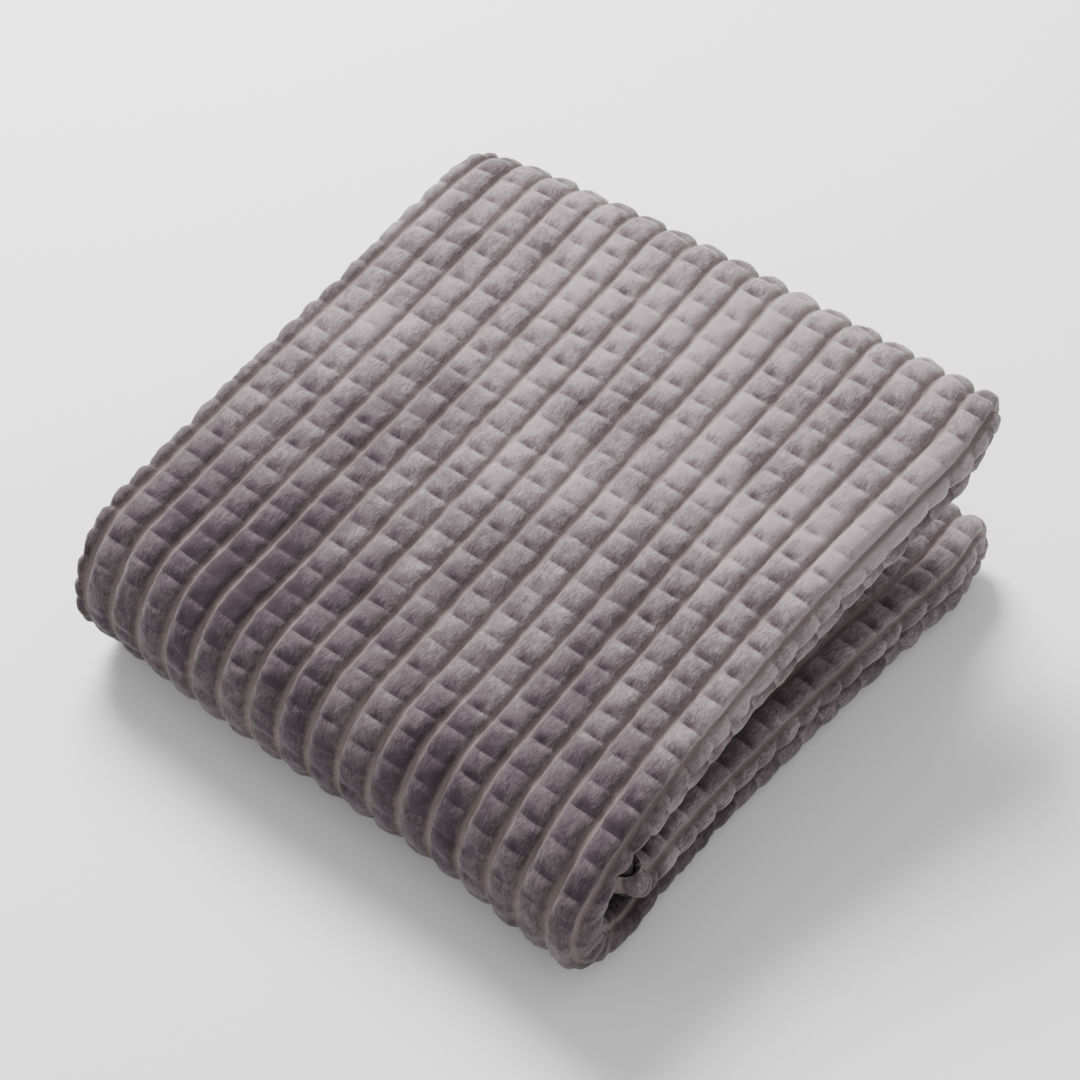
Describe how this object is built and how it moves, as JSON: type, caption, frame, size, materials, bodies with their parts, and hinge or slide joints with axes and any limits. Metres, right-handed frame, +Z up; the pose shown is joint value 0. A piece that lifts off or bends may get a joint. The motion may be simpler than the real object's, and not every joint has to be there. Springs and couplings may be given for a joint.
{
  "type": "folded throw blanket",
  "caption": "Folded fleece throw with a carved block pile, folded in quarters across and in a book fold along, with hems, stitching and a rounded front fold that opens.",
  "frame": {"origin": "middle of the footprint, on the surface the throw lies on", "axes": "+X across the strip towards the closed side fold, -Y the rounded front fold, +Z up"},
  "size_m": [0.322, 0.3202, 0.1448],
  "materials": {
    "fleece": "matte",
    "hem": "matte",
    "thread": "matte",
    "label": "satin"
  },
  "bodies": {
    "lower_half": {"care_label": "label", "front_fold_core": "fleece", "front_fold_core_hem": "hem", "front_fold_sleeve": "fleece", "front_fold_sleeve_hem": "hem", "front_fold_stitching": "thread", "lower_back_fold_core": "fleece", "lower_back_fold_core_hem": "hem", "lower_back_fold_sleeve": "fleece", "lower_back_fold_sleeve_hem": "hem", "lower_back_fold_stitching": "thread", "lower_inner_curl_core": "fleece", "lower_inner_curl_core_hem": "hem", "lower_inner_curl_sleeve": "fleece", "lower_inner_curl_sleeve_hem": "hem", "lower_inner_curl_stitching": "thread", "lower_inner_end_core_hem": "hem", "lower_inner_end_hem": "hem", "lower_inner_end_stitching": "thread", "lower_inner_leaf_core": "fleece", "lower_inner_leaf_core_hem": "hem", "lower_inner_leaf_sleeve": "fleece", "lower_inner_leaf_sleeve_hem": "hem", "lower_inner_leaf_stitching": "thread", "lower_outer_leaf_core": "fleece", "lower_outer_leaf_core_hem": "hem", "lower_outer_leaf_sleeve": "fleece", "lower_outer_leaf_sleeve_hem": "hem", "lower_outer_leaf_stitching": "thread"},
    "upper_half": {"upper_back_fold_core": "fleece", "upper_back_fold_core_hem": "hem", "upper_back_fold_sleeve": "fleece", "upper_back_fold_sleeve_hem": "hem", "upper_back_fold_stitching": "thread", "upper_inner_end_core_hem": "hem", "upper_inner_end_hem": "hem", "upper_inner_end_stitching": "thread", "upper_inner_leaf_core": "fleece", "upper_inner_leaf_core_hem": "hem", "upper_inner_leaf_sleeve": "fleece", "upper_inner_leaf_sleeve_hem": "hem", "upper_inner_leaf_stitching": "thread", "upper_outer_leaf_core": "fleece", "upper_outer_leaf_core_hem": "hem", "upper_outer_leaf_sleeve": "fleece", "upper_outer_leaf_sleeve_hem": "hem", "upper_outer_leaf_stitching": "thread"}
  },
  "joints": [
    {"name": "front_fold_opening", "type": "hinge", "parent": "lower_half", "child": "upper_half", "pos_m": [0, -0.15982, 0.04063], "axis": [1, 0, 0], "range_deg": [0, 168], "deforming": ["front_fold_core", "front_fold_core_hem", "front_fold_sleeve", "front_fold_sleeve_hem", "front_fold_stitching"]}
  ]
}
